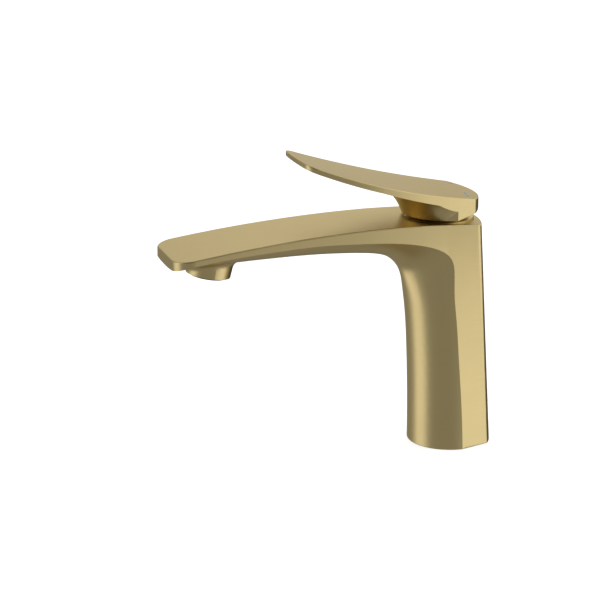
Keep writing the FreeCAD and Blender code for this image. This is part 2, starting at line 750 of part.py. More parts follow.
# Cartridge chamber, from its floor to the recess under the dome cover.
above = Dims.crown_z + 10
chamber = cylinder("chamber", Dims.chamber_radius, above - Dims.chamber_floor,
                   (0, Dims.axis_y, Dims.chamber_floor))
relief = cylinder("relief", Dims.relief_radius, Dims.relief_high - Dims.relief_low,
                  (0, Dims.axis_y, Dims.relief_low))
nut_thread = cylinder("nut_thread", Dims.nut_thread_radius, above - Dims.nut_seat,
                      (0, Dims.axis_y, Dims.nut_seat))
cover_recess = cylinder("cover_recess", Dims.cover_radius + Dims.fit_gap * 4,
                        above - Dims.cover_seat, (0, Dims.axis_y, Dims.cover_seat))
peg_y = Dims.axis_y + Dims.peg_y
peg_holes = [
    cylinder(f"peg_hole_{side}", Dims.peg_radius + Dims.fit_gap, Dims.peg_length + 0.5,
             (side * Dims.peg_x, peg_y, Dims.chamber_floor - Dims.peg_length - 0.5))
    for side in (-1, 1)
]

# Waterway through the spout to the aerator's socket.
knee = (Dims.waterway_knee_y, Dims.crown_z - Dims.waterway_knee_drop)
waterway_end = (Dims.outlet_y, Dims.crown_z - Dims.waterway_end_drop)
rise = rod_between("waterway_rise", Dims.waterway_radius,
                   (Dims.axis_y - Dims.chamber_radius + 3, Dims.waterway_start_z), knee)
run = rod_between("waterway_run", Dims.waterway_radius, knee, waterway_end)


def down_outlet(reach):
    """Place on the outlet's tipped axis, reach above the middle of its rim."""
    return (0, Dims.outlet_y + reach * sine(Dims.outlet_tilt),
            Dims.outlet_rim_z + reach * cosine(Dims.outlet_tilt))


aerator_socket = cylinder("aerator_socket", Dims.aerator_thread_radius, Dims.aerator_depth + 1,
                          down_outlet(size(-1)), turn=outlet_turn)
socket_throat = cylinder("socket_throat", Dims.throat_radius, Dims.throat_depth,
                         outlet_rim, turn=outlet_turn)
node("body", cut(
    "body_casting", blended, foot_hollow, foot_groove, stud_hole, *waterways, chamber, relief,
    nut_thread, cover_recess, *peg_holes, rise, run, aerator_socket, socket_throat))

# --- foot seal: a flat rubber ring in the groove of the foot -------------------------------

node("foot_seal", ring("foot_seal_ring", Dims.seal_groove_inner + Dims.fit_gap,
                       Dims.seal_groove_outer - Dims.fit_gap, 0, Dims.seal_height, (0, 0, 0)))

# --- cartridge base: moulded cup that carries the fixed disc and the three port seals ------

base_turned = turned("base_turned", [
    (0, Dims.base_low),
    (Dims.housing_radius, Dims.base_low),
    (Dims.housing_radius, Dims.base_high),
    (Dims.fixed_disc_radius + Dims.fit_gap, Dims.base_high),
    (Dims.fixed_disc_radius + Dims.fit_gap, Dims.disc_seat),
    (0, Dims.disc_seat),
])
PORTS = {
    "hot": (-Dims.port_pitch / 2, Dims.port_y),
    "cold": (Dims.port_pitch / 2, Dims.port_y),
    "mixed": (0, Dims.outlet_port_y),
}
seal_high = Dims.base_low + Dims.seal_pocket
base_cuts = []
for name, (x, y) in PORTS.items():
    spot = (x, Dims.axis_y + y)
    if name == "mixed":
        base_cuts.append(cylinder("mixed_well", Dims.port_radius, 10, (*spot, seal_high)))
        continue
    base_cuts.append(cylinder(name + "_base_port", Dims.port_radius, 20, (*spot, Dims.base_low)))
    base_cuts.append(cylinder(name + "_seal_pocket", Dims.seal_ring_radius + Dims.fit_gap,
                              Dims.seal_pocket, (*spot, Dims.base_low)))
window = block("mixed_window", Dims.port_radius * 2, Dims.axis_y + Dims.outlet_port_y,
               Dims.axis_y + 30, Dims.relief_low + 0.3, Dims.disc_seat - 0.8)
base_pegs = [
    cylinder(f"base_peg_{side}", Dims.peg_radius, Dims.peg_length + 1,
             (side * Dims.peg_x, peg_y, Dims.base_low - Dims.peg_length))
    for side in (-1, 1)
]
node("cartridge_base", fuse(
    "base_with_pegs", cut("base_bored", base_turned, *base_cuts, window), *base_pegs))

# --- port seals: two rubber rings between the base and the chamber's floor -----------------

port_seals = []
for name in ("hot", "cold"):
    x, y = PORTS[name]
    port_seals.append(ring(name + "_port_seal", Dims.port_radius, Dims.seal_ring_radius,
                           Dims.chamber_floor, seal_high, (x, Dims.axis_y + y, 0)))
seal_pair = doc.addObject("Part::Compound", "seal_pair")
seal_pair.Links = port_seals
node("port_seals", seal_pair)

# --- ceramic discs: the lower one fixed, the upper one sliding on it ------------------------

fixed_blank = disc("fixed_blank", Dims.fixed_disc_radius, Dims.disc_seat, Dims.disc_meet)
disc_ports = [
    cylinder(name + "_disc_port", Dims.port_radius, 20, (x, Dims.axis_y + y, Dims.disc_seat - 5))
    for name, (x, y) in PORTS.items()
]
node("lower_ceramic_disc", cut("fixed_disc", fixed_blank, *disc_ports))

# The closed stem leans forward, so its lower end holds the moving disc behind the axis.
disc_offset = Dims.finger_reach * sine(Dims.stem_lean)
moving_y = Dims.axis_y + disc_offset
moving_blank = disc("moving_blank", Dims.moving_disc_radius, Dims.disc_meet,
                    Dims.upper_disc_top, (0, moving_y, 0))
mixing_pocket = block("mixing_pocket", Dims.pocket_width, moving_y - Dims.pocket_front,
                      moving_y + Dims.pocket_rear, Dims.disc_meet - 1,
                      Dims.disc_meet + Dims.pocket_height)
node("upper_ceramic_disc", cut("moving_disc", moving_blank, mixing_pocket))

# --- disc driver: holds the moving disc and is pushed by the ball of the stem --------------

driver_turned = turned("driver_turned", [
    (0, Dims.upper_disc_top),
    (Dims.moving_disc_radius + Dims.fit_gap, Dims.upper_disc_top),
    (Dims.moving_disc_radius + Dims.fit_gap, Dims.upper_disc_top - Dims.driver_lip),
    (Dims.driver_radius, Dims.upper_disc_top - Dims.driver_lip),
    (Dims.driver_radius, Dims.carrier_low - Dims.fit_gap),
    (0, Dims.carrier_low - Dims.fit_gap),
], (0, moving_y, 0))
tongue = block("driver_tongue", Dims.tongue_width, moving_y - Dims.tongue_length / 2,
               moving_y + Dims.tongue_length / 2, Dims.upper_disc_top + 1,
               Dims.flange_high - Dims.fit_gap * 2)
ball_pocket = cylinder("ball_pocket", Dims.ball_radius + Dims.fit_gap, 20,
                       (0, moving_y, Dims.pivot_z - Dims.finger_reach - Dims.ball_radius - 0.4))
node("disc_driver", cut("driver", fuse("driver_blank", driver_turned, tongue), ball_pocket))

# --- cartridge housing: moulded sleeve, with the groove of its O-ring ----------------------

groove_low = Dims.relief_high + Dims.ring_land
groove_high = groove_low + 2 * Dims.ring_section + Dims.fit_gap
groove_inner = Dims.chamber_radius - 2 * Dims.ring_section
node("cartridge_housing", turned("housing_turned", [
    (Dims.housing_cavity, Dims.base_high),
    (Dims.housing_radius, Dims.base_high),
    (Dims.housing_radius, groove_low),
    (groove_inner, groove_low),
    (groove_inner, groove_high),
    (Dims.housing_radius, groove_high),
    (Dims.housing_radius, Dims.nut_seat),
    (Dims.neck_radius, Dims.nut_seat),
    (Dims.neck_radius, Dims.neck_top),
    (Dims.carrier_radius + Dims.fit_gap, Dims.neck_top),
    (Dims.carrier_radius + Dims.fit_gap, Dims.flange_high + Dims.fit_gap),
    (Dims.housing_cavity, Dims.flange_high + Dims.fit_gap),
]))


def o_ring(name, radius, section, z):
    """A rubber ring around the cartridge's axis."""
    torus = doc.addObject("Part::Torus", name)
    drive(torus, Radius1=radius, Radius2=section)
    return place(torus, (0, Dims.axis_y, z))


node("housing_o_ring", o_ring("housing_ring", Dims.chamber_radius - Dims.ring_section,
                              Dims.ring_section - Dims.fit_gap / 5,
                              (groove_low + groove_high) / 2))

# --- swivel carrier: turns in the housing and carries the pivot pin ------------------------

carrier_turned = turned("carrier_turned", [
    (0, Dims.carrier_low),
    (Dims.carrier_flange, Dims.carrier_low),
    (Dims.carrier_flange, Dims.flange_high),
    (Dims.carrier_radius, Dims.flange_high),
    (Dims.carrier_radius, Dims.neck_top),
    (0, Dims.neck_top),
])
stem_slot = block("stem_slot", Dims.stem_width + Dims.fit_gap * 4,
                  Dims.axis_y - Dims.stem_slot_reach, Dims.axis_y + Dims.stem_slot_reach,
                  Dims.carrier_low - 1, Dims.neck_top + 1)
tongue_slot = block("tongue_slot", Dims.tongue_width + Dims.fit_gap * 2, Dims.axis_y - 20,
                    Dims.axis_y + 20, Dims.carrier_low - 1, Dims.flange_high)
pin_bore = cylinder("pin_bore", Dims.pin_radius, Dims.pin_length,
                    (-Dims.pin_length / 2, Dims.axis_y, Dims.pivot_z), "X")
node("swivel_carrier", cut("carrier", carrier_turned, stem_slot, tongue_slot, pin_bore))

# --- pivot pin: steel dowel across the carrier ---------------------------------------------

node("stem_pivot_pin", cylinder("pivot_dowel", Dims.pin_radius, Dims.pin_length,
                                (-Dims.pin_length / 2, Dims.axis_y, Dims.pivot_z), "X"))

# --- stem: square above the pivot, a finger with a ball below it ---------------------------

lean = Dims.stem_lean


def along_stem(reach):
    """Place on the stem's leaning middle line, at a distance above the pivot."""
    return (0, Dims.axis_y - reach * sine(lean), Dims.pivot_z + reach * cosine(lean))


stem_shaft = doc.addObject("Part::Box", "stem_shaft")
drive(stem_shaft, Length=Dims.stem_width, Width=Dims.stem_width, Height=Dims.stem_reach)
half_stem = Dims.stem_width / 2
place(stem_shaft, (-half_stem, Dims.axis_y - half_stem * cosine(lean),
                   Dims.pivot_z - half_stem * sine(lean)), turn=lean)
stem_eye = cylinder("stem_eye", Dims.eye_radius, Dims.stem_width,
                    (-half_stem, Dims.axis_y, Dims.pivot_z), "X")
finger_end = along_stem(-Dims.finger_reach)
finger = cylinder("finger", Dims.finger_radius, Dims.finger_reach, finger_end, turn=lean)
ball = sphere("finger_ball", Dims.ball_radius, finger_end)
eye_bore = cylinder("eye_bore", Dims.pin_radius + Dims.fit_gap, Dims.stem_width + 2,
                    (-half_stem - 1, Dims.axis_y, Dims.pivot_z), "X")
node("cartridge_stem", cut(
    "stem", fuse("stem_blank", stem_shaft, stem_eye, finger, ball), eye_bore))

# --- limit ring: moulded ring on the neck, its lug limits how far the lever turns to hot ----

limit_ring = ring("limit_ring_turned", Dims.carrier_radius + Dims.fit_gap * 4, Dims.neck_radius,
                  Dims.neck_top, Dims.neck_top + Dims.limit_ring_height)
limit_lug = block("limit_lug", 4, Dims.axis_y + Dims.carrier_radius + Dims.fit_gap * 6,
                  Dims.axis_y + Dims.neck_radius - 0.2, Dims.neck_top,
                  Dims.neck_top + Dims.limit_ring_height * 1.6)
node("temperature_limit_ring", fuse("limit_ring", limit_ring, limit_lug))

# --- retaining nut: threaded ring with six spanner notches ---------------------------------

nut = doc.addObject("PartDesign::Body", "nut")
nut_section = body_sketch(nut, "nut_section", "XZ_Plane", [
    (Dims.neck_radius + Dims.fit_gap, Dims.nut_seat),
    (Dims.nut_thread_radius - Dims.fit_gap, Dims.nut_seat),
    (Dims.nut_thread_radius - Dims.fit_gap, Dims.nut_top),
    (Dims.neck_radius + Dims.fit_gap, Dims.nut_top),
])
doc.recompute()
nut_turned = nut.newObject("PartDesign::Revolution", "nut_turned")
nut_turned.Profile = nut_section
nut_turned.ReferenceAxis = (nut_section, ["V_Axis"])
nut_turned.Angle = 360
half_notch = Dims.nut_notch_width / 2
notch_inner, notch_outer = Dims.nut_notch_radius, Dims.nut_thread_radius + 2
notch_sketch = body_sketch(nut, "notch_sketch", "XY_Plane", [
    (notch_inner, -half_notch),
    (notch_outer, -half_notch),
    (notch_outer, half_notch),
    (notch_inner, half_notch),
], offset=Dims.nut_top)
notch = nut.newObject("PartDesign::Pocket", "notch")
notch.Profile = notch_sketch
drive(notch, Length=Dims.nut_notch_depth)
doc.recompute()
notches = nut.newObject("PartDesign::PolarPattern", "notches")
notches.Originals = [notch]
notches.Axis = (notch_sketch, ["N_Axis"])
notches.Angle = 360
notches.Occurrences = 6
nut.Tip = notches
doc.recompute()
assert nut.Shape.Volume < nut_turned.Shape.Volume - 20, "the nut's notches cut nothing"
node("retaining_nut", place(nut, AXIS))

# --- dome cover: turned brass cap ring over the nut, with its slip ring --------------------

skin_gap = Dims.cover_wall
node("dome_cover", turned("dome_turned", [
    (Dims.cover_radius - skin_gap, Dims.cover_foot),
    (Dims.cover_radius, Dims.cover_foot),
    (Dims.cover_radius, Dims.cover_skirt_top),
    (Dims.cover_opening, Dims.cover_top),
    (Dims.cover_opening, Dims.cover_top - skin_gap),
    (Dims.cover_collar, Dims.cover_top - skin_gap * 1.6),
    (Dims.cover_collar, Dims.nut_top),
    (Dims.cover_collar + skin_gap, Dims.nut_top),
    (Dims.cover_collar + skin_gap, Dims.cover_skirt_top - skin_gap * 0.6),
    (Dims.cover_radius - skin_gap, Dims.cover_skirt_top - skin_gap),
], arcs={2: bow_radius(root(
    (Dims.cover_radius - Dims.cover_opening) * (Dims.cover_radius - Dims.cover_opening)
    + (Dims.cover_top - Dims.cover_skirt_top) * (Dims.cover_top - Dims.cover_skirt_top)) / 2,
    Dims.cover_bow)}))
node("dome_slip_ring", ring("slip_ring", Dims.cover_radius - skin_gap, Dims.cover_radius,
                            Dims.cover_seat, Dims.cover_foot))


# --- aerator: seal, black housing, straightener, diffuser and screen in the outlet ---------

# All five are built upright about +Z from the rim's plane, then tipped with the outlet.
MIDDLE = (0, 0, 0)


def in_outlet(thing):
    return place(thing, outlet_rim, turn=outlet_turn)


washer_low = Dims.aerator_depth - Dims.aerator_seal_height
housing_low = -Dims.aerator_drop
node("aerator_seal", in_outlet(ring(
    "aerator_washer", Dims.aerator_bore - 1.2, Dims.aerator_thread_radius - Dims.fit_gap * 3,
    washer_low, Dims.aerator_depth, MIDDLE)))


def grid_bars(name, z_low, z_high, count, reach):
    """Parallel bars across a round opening, as long as the circle lets them be."""
    bars = []
    for number in range(count):
        offset = (number - (count - 1) / 2) * Dims.grid_pitch
        half = root(reach * reach - offset * offset)
        bars.append(block(f"{name}_{number}", Dims.grid_bar, -half, half, z_low, z_high,
                          x_middle=offset))
    return bars


def cross_bar(name, z_low, z_high, reach):
    return block(name, reach * 2, -Dims.grid_bar / 2, Dims.grid_bar / 2, z_low, z_high)


grid_top = housing_low + Dims.grid_height
grid_reach = Dims.aerator_bore - 0.3
aerator_sleeve = turned("aerator_sleeve", [
    (Dims.aerator_bore - 0.6, housing_low),
    (Dims.aerator_thread_radius - Dims.fit_gap, housing_low),
    (Dims.aerator_thread_radius - Dims.fit_gap, washer_low),
    (Dims.aerator_bore, washer_low),
    (Dims.aerator_bore, grid_top),
    (Dims.aerator_bore - 0.6, grid_top),
], MIDDLE)
outlet_bars = grid_bars("outlet_bar", housing_low + 0.4, grid_top, 7, grid_reach)
outlet_cross = cross_bar("outlet_cross", housing_low + 0.6, grid_top, grid_reach)
node("aerator_housing", in_outlet(
    fuse("aerator_shell", aerator_sleeve, *outlet_bars, outlet_cross)))

insert_radius = Dims.aerator_bore - Dims.fit_gap
insert_reach = insert_radius - 0.6
straightener_top = grid_top + Dims.straightener_height
straightener_ring = ring("straightener_ring", insert_radius - 1.2, insert_radius, grid_top,
                         straightener_top, MIDDLE)
straightener_bars = grid_bars("straightener_bar", grid_top + 0.4, straightener_top, 5,
                              insert_reach)
straightener_cross = cross_bar("straightener_cross", grid_top + 0.4, straightener_top,
                               insert_reach)
node("aerator_straightener", in_outlet(
    fuse("straightener", straightener_ring, *straightener_bars, straightener_cross)))

diffuser_top = straightener_top + Dims.diffuser_height
diffuser_blank = disc("diffuser_blank", insert_radius, straightener_top, diffuser_top, MIDDLE)
jet_reach = insert_radius * 0.62
jet_holes = []
for number in range(8):
    angle = 2 * math.pi * number / 8
    jet_holes.append(cylinder(
        f"jet_{number}", Dims.jet_radius, Dims.diffuser_height + 2,
        (jet_reach * math.cos(angle), jet_reach * math.sin(angle), straightener_top - 1)))
node("aerator_diffuser", in_outlet(cut("diffuser", diffuser_blank, *jet_holes)))

screen_top = diffuser_top + Dims.screen_height
screen_ring = ring("screen_ring", insert_radius - 1.2, insert_radius, diffuser_top, screen_top,
                   MIDDLE)
screen_bars = grid_bars("screen_bar", diffuser_top + 0.2, screen_top, 7, insert_reach)
node("aerator_screen", in_outlet(fuse("screen", screen_ring, *screen_bars)))

# --- lever: leaf-shaped blade on a round hub, cast in one piece ----------------------------

# Plan of the leaf: a rounded blunt end, an arc out to the widest place, a flatter arc back
# to the rear corners, and a bowed rear face.
end_y = Dims.lever_tip_y + Dims.lever_end_bow
front_arc = bow_radius(Dims.lever_wide_y - end_y, Dims.lever_wide_half - Dims.lever_end_half)
rear_run = Dims.lever_rear_y - Dims.lever_wide_y
rear_arc = bow_radius(rear_run, Dims.lever_wide_half - Dims.lever_rear_half)
leaf_plan = free_sketch("leaf_plan", (0, 0, Dims.lever_low_z - 10), UPRIGHT, mirrored([
    (Dims.lever_end_half, end_y),
    (Dims.lever_wide_half, Dims.lever_wide_y),
    (Dims.lever_rear_half, Dims.lever_rear_y),
]), {0: front_arc, 1: rear_arc, 2: bow_radius(Dims.lever_rear_half, Dims.lever_bow),
     3: rear_arc, 4: front_arc, 5: bow_radius(Dims.lever_end_half, Dims.lever_end_bow)})
leaf = extrude("leaf", leaf_plan, 75, False)


def lever_front_corner(edge):
    return upright_edge(edge) and edge.CenterOfMass.y < Dims.lever_tip_y.value + 10


def lever_rear_corner(edge):
    return upright_edge(edge) and edge.CenterOfMass.y > Dims.lever_rear_y.value - 1


leaf_blunt = round_edges("leaf_blunt", leaf, Dims.lever_end_corner, lever_front_corner)
leaf_round = round_edges("leaf_round", leaf_blunt, Dims.lever_corner, lever_rear_corner)

# Side view of the top and of the blade's underside.
slope = tangent(Dims.lever_slope)
lever_back_y = Dims.lever_rear_y + 12
lever_front_y = Dims.lever_tip_y - 3


def on_arc(run):
    """Height of the lever's hollow top, run in front of the widest place or, when it is
    negative, behind it."""
    radius = Dims.lever_top_radius
    lean_run = radius * sine(Dims.lever_slope) + run
    return Dims.lever_joint_z + radius * cosine(Dims.lever_slope) \
        - root(radius * radius - lean_run * lean_run)


front_run = Dims.lever_wide_y - lever_front_y
back_run = lever_back_y - Dims.lever_wide_y
top_back_z = on_arc(-back_run)
top_front_z = on_arc(front_run)
under_top_view = free_sketch("under_top_view", (0, 0, 0), SIDE_VIEW, [
    (lever_back_y, top_back_z),
    (lever_front_y, top_front_z),
    (lever_front_y, Dims.lever_low_z - 5),
    (lever_back_y, Dims.lever_low_z - 5),
], {0: -Dims.lever_top_radius})
under_top = extrude("under_top", under_top_view, 80, True)

blade_joint_z = Dims.lever_joint_z - Dims.blade_root
blade_view = free_sketch("blade_view", (0, 0, 0), SIDE_VIEW, [
    (lever_back_y, top_back_z + 5),
    (lever_front_y, top_front_z + 5),
    (lever_front_y, top_front_z - Dims.blade_tip),
    (Dims.lever_wide_y, blade_joint_z),
    (lever_back_y, top_back_z - Dims.blade_back),
], {2: Dims.lever_top_radius, 3: Dims.lever_top_radius})
blade_band = extrude("blade_band", blade_view, 80, True)

# The hub: a round nose that flares up into the blade, and a rear above the column whose
# sides leave the nose at a tangent and run out to the leaf's outline.
hub_low = Dims.lever_low_z - 5
neck_z = Dims.lever_low_z + Dims.hub_neck_height
neck_taper = (Dims.hub_neck_radius - Dims.hub_radius) / Dims.hub_neck_height
flare_dx = Dims.hub_flare_radius - Dims.hub_neck_radius
flare_dz = Dims.hub_flare_z - neck_z
half_flare = root(flare_dx * flare_dx + flare_dz * flare_dz) / 2
hub = turned("hub", [
    (0, hub_low),
    (Dims.hub_radius - neck_taper * 5, hub_low),
    (Dims.hub_neck_radius, neck_z),
    (Dims.hub_flare_radius, Dims.hub_flare_z),
    (Dims.hub_flare_radius, Dims.hub_flare_z + 16),
    (0, Dims.hub_flare_z + 16),
], arcs={2: -bow_radius(half_flare, Dims.hub_flare_bow)})
side_run = Dims.hub_side_y - Dims.lever_wide_y
side_x = Dims.lever_wide_half - rear_arc + root(rear_arc * rear_arc - side_run * side_run)
side_y = Dims.hub_side_y - Dims.axis_y
side_square = side_x * side_x + side_y * side_y
side_tangent = root(side_square - Dims.hub_radius * Dims.hub_radius)
touch_x = Dims.hub_radius * (Dims.hub_radius * side_x + side_tangent * side_y) / side_square
touch_y = Dims.hub_radius * (Dims.hub_radius * side_y - side_tangent * side_x) / side_square
rear_plan = free_sketch("rear_plan", (0, Dims.axis_y, hub_low), UPRIGHT, mirrored([
    (touch_x, touch_y),
    (side_x * 2 - touch_x, side_y * 2 - touch_y),
    (side_x * 2 - touch_x, lever_back_y - Dims.axis_y),
]))
rear_block = extrude("rear_block", rear_plan, Dims.lever_joint_z - hub_low, False)
lever_shape = fuse("lever_shape", blade_band, hub, rear_block)

low_slope = tangent(Dims.lever_low_slope)
under_slope = tangent(Dims.undercut_slope)
undercut_z = Dims.lever_low_z + low_slope * (Dims.axis_y - Dims.undercut_y)
above_under_view = free_sketch("above_under_view", (0, 0, 0), SIDE_VIEW, [
    (lever_back_y, undercut_z + (lever_back_y - Dims.undercut_y) * under_slope),
    (lever_back_y, Dims.lever_joint_z + 30),
    (lever_front_y, Dims.lever_joint_z + 30),
    (lever_front_y, Dims.lever_low_z + (Dims.axis_y - lever_front_y) * low_slope),
    (Dims.undercut_y, undercut_z),
])
above_under = extrude("above_under", above_under_view, 80, True)
lever_raw = common("lever_raw", leaf_round, under_top, lever_shape, above_under)


def lever_top_edge(edge):
    spot = middle(edge)
    top = on_arc(Dims.lever_wide_y - spot.y)
    return abs(spot.z - top.value) < 0.05


lever_edged = round_edges("lever_edged", lever_raw, Dims.lever_edge, lever_top_edge)

# Hollow over the dome cover, round about the pivot so that the lever can lift over it.
hollow_ball = sphere("hollow_ball", Dims.lever_cavity_radius, (0, Dims.axis_y, Dims.pivot_z))
hollow_limit = block("hollow_limit", 60, Dims.axis_y - 30, Dims.axis_y + 30,
                     Dims.pivot_z - 10, Dims.lever_cavity_top)
boss_y = Dims.axis_y - Dims.stem_reach * sine(lean) * 0.8
boss = cylinder("socket_boss", Dims.socket_boss_radius, 20,
                (0, boss_y, Dims.socket_boss_low))
hollow = cut("hollow", common("hollow_dome", hollow_ball, hollow_limit), boss)
stem_socket = doc.addObject("Part::Box", "stem_socket")
socket_width = Dims.stem_width + Dims.fit_gap * 2
drive(stem_socket, Length=socket_width, Width=socket_width,
      Height=Dims.stem_reach + Dims.fit_gap)
place(stem_socket, (-socket_width / 2, Dims.axis_y - socket_width / 2 * cosine(lean),
                    Dims.pivot_z - socket_width / 2 * sine(lean)), turn=lean)
grub_low_y = Dims.axis_y - (Dims.grub_z - Dims.grub_radius - Dims.pivot_z) * tangent(lean) \
    + half_stem / cosine(lean)
grub_hole = cylinder("grub_hole", Dims.grub_radius, 30, (0, grub_low_y - 1, Dims.grub_z), "Y")
rear_face_y = Dims.lever_rear_y + Dims.lever_bow
plug_hole = cylinder("plug_hole", Dims.plug_radius, 10,
                     (0, rear_face_y - Dims.plug_inset - Dims.plug_depth, Dims.grub_z), "Y")
node("lever_handle", cut("lever", lever_edged, hollow, stem_socket, grub_hole, plug_hole))

# --- grub screw that clamps the stem, and the cap that closes its hole ----------------------

grub_body = cylinder("grub_body", Dims.grub_radius - Dims.fit_gap, Dims.grub_length,
                     (0, grub_low_y, Dims.grub_z), "Y")
hex_socket = doc.addObject("Part::Prism", "hex_socket")
hex_socket.Polygon = 6
drive(hex_socket, Circumradius=Dims.hex_radius, Height=3)
place(hex_socket, (0, grub_low_y + Dims.grub_length - 2.4, Dims.grub_z), ALONG["Y"])
node("handle_set_screw", cut("grub_screw", grub_body, hex_socket))
node("screw_plug", cylinder("plug", Dims.plug_radius - Dims.fit_gap, Dims.plug_depth,
                            (0, rear_face_y - Dims.plug_inset - Dims.plug_depth,
                             Dims.grub_z), "Y"))

# --- checks and export ----------------------------------------------------------------------

doc.recompute()
for thing in doc.Objects:
    assert not {"Invalid", "Error"} & set(thing.State), f"{thing.Name} is {thing.State}"
os.makedirs("parts", exist_ok=True)
for name, thing in NODES.items():
    assert not thing.Shape.isNull() and thing.Shape.isValid(), f"{name} has no sound shape"
    thing.Shape.exportStep(f"parts/{name}.step")
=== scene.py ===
import bpy
import math
from mathutils import Matrix, Vector


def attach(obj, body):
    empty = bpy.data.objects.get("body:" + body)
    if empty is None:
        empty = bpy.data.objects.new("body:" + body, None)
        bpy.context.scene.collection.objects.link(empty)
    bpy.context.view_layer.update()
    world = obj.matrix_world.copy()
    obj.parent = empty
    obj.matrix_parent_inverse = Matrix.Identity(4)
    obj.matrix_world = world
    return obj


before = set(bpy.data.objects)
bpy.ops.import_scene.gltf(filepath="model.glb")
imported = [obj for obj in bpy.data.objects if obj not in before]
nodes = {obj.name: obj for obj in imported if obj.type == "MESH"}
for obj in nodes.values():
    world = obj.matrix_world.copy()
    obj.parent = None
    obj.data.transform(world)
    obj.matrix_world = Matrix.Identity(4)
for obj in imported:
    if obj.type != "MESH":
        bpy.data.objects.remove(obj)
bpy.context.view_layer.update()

# Body casting: column and spout in one brass casting, ground and brushed by hand, then coated
# in a warm gold metal. The column is brushed round, the spout along its length.


class Wire:
    """A shader socket that takes part in sums."""

    def __init__(self, finish, socket):
        self.finish, self.socket = finish, socket

    def sum(self, how, left, right):
        return self.finish.add("ShaderNodeMath", {"operation": how}, {0: left, 1: right})

    def __add__(self, other):
        return self.sum("ADD", self, other)

    def __radd__(self, other):
        return self.sum("ADD", other, self)

    def __sub__(self, other):
        return self.sum("SUBTRACT", self, other)

    def __rsub__(self, other):
        return self.sum("SUBTRACT", other, self)

    def __mul__(self, other):
        return self.sum("MULTIPLY", self, other)

    def __rmul__(self, other):
        return self.sum("MULTIPLY", other, self)


class Finish:
    """A material with its shader tree; add() makes any node of it."""

    def __init__(self, name, shader="ShaderNodeBsdfPrincipled", **sockets):
        self.material = bpy.data.materials.new(name)
        self.material.use_nodes = True
        self.tree = self.material.node_tree
        self.tree.nodes.clear()
        self.surface = self.tree.nodes.new(shader)
        self.output = self.tree.nodes.new("ShaderNodeOutputMaterial")
        self.tree.links.new(self.surface.outputs[0], self.output.inputs["Surface"])
        for name, number in sockets.items():
            self.surface.inputs[name.replace("_", " ")].default_value = number

    def add(self, kind, settings, inputs, output=0):
        made = self.tree.nodes.new(kind)
        for name, setting in settings.items():
            setattr(made, name, setting)
        for name, value in inputs.items():
            self.feed(made.inputs[name], value)
        return Wire(self, made.outputs[output])

    def feed(self, socket, value):
        if isinstance(value, Wire):
            self.tree.links.new(value.socket, socket)
        else:
            socket.default_value = value

    def drive(self, name, value):
        self.feed(self.surface.inputs[name], value)

    def place(self):
        """Place on the object, in metres."""
        return self.add("ShaderNodeTexCoord", {}, {}, "Object")

    def height(self):
        return self.add("ShaderNodeSeparateXYZ", {}, {0: self.place()}, "Z")

    def streaks(self, per_metre, detail=3.0):
        """Noise that is stretched where per_metre is small."""
        spread = self.add("ShaderNodeVectorMath", {"operation": "MULTIPLY"},
                          {0: self.place(), 1: per_metre})
        return self.add("ShaderNodeTexNoise", {},
                        {"Vector": spread, "Scale": 1.0, "Detail": detail, "Roughness": 0.6})

    def speckle(self, per_metre, detail=4.0):
        return self.streaks((per_metre, per_metre, per_metre), detail)

    def step(self, value, low, high):
        """0 below low, 1 above high, smooth between."""
        return self.add("ShaderNodeMapRange", {"interpolation_type": "SMOOTHSTEP"},
                        {"Value": value, "From Min": low, "From Max": high})

    def mix(self, share, first, second):
        return self.add("ShaderNodeMix", {"data_type": "RGBA"},
                        {"Factor": share, 6: first, 7: second}, 2)

    def bump(self, height, strength, depth):
        return self.add("ShaderNodeBump", {},
                        {"Height": height, "Strength": strength, "Distance": depth})


GOLD = (0.73, 0.585, 0.285, 1.0)
GOLD_WORN = (0.66, 0.53, 0.26, 1.0)


def brushed_gold(name, grain_of, smoothness=0.27):
    """Brushed gold coating; grain_of gives the brush lines of that piece."""
    finish = Finish(name, Metallic=1.0, Specular_Tint=(0.97, 0.92, 0.79, 1.0))
    grain = grain_of(finish)
    cloud = finish.speckle(38.0)
    finish.drive("Base Color", finish.mix(grain * 0.55 + cloud * 0.3, GOLD, GOLD_WORN))
    finish.drive("Roughness", smoothness + grain * 0.1 + cloud * 0.04)
    finish.drive("Normal", finish.bump(grain, 0.22, 0.00006))
    return finish.material


def body_grain(finish):
    """Lines round the column that turn into lines along the spout."""
    round_column = finish.streaks((45.0, 45.0, 1900.0))
    along_spout = finish.streaks((1900.0, 45.0, 1900.0))
    in_spout = finish.step(finish.height(), 0.098, 0.118)
    return round_column * (1 - in_spout) + along_spout * in_spout


def dress(node, material, rounded=32.0):
    """Gives a CAD piece its finish and its smooth shading."""
    piece = nodes[node]
    piece.data.materials.clear()
    piece.data.materials.append(material)
    piece.data.shade_smooth()
    piece.data.set_sharp_from_angle(angle=math.radians(rounded))
    return piece


dress("body", brushed_gold("gold_body", body_grain))

# Foot seal: a flat black rubber ring pressed into the groove under the column, which keeps
# water from running under the foot.


def rubber(name, shade=0.018):
    finish = Finish(name, Roughness=0.62, Specular_IOR_Level=0.35)
    dust = finish.speckle(2600.0)
    finish.drive("Base Color", finish.mix(dust, (shade, shade, shade, 1),
                                          (shade * 1.9, shade * 1.9, shade * 1.85, 1)))
    finish.drive("Roughness", 0.55 + dust * 0.2)
    finish.drive("Normal", finish.bump(dust, 0.25, 0.00003))
    return finish.material


seal_rubber = rubber("seal_rubber")
dress("foot_seal", seal_rubber)

# Cartridge: a 35 mm ceramic-disc mixing cartridge in moulded nylon. Its base carries the fixed
# disc and the port seals; the housing is clipped over it and holds the swivelling carrier.


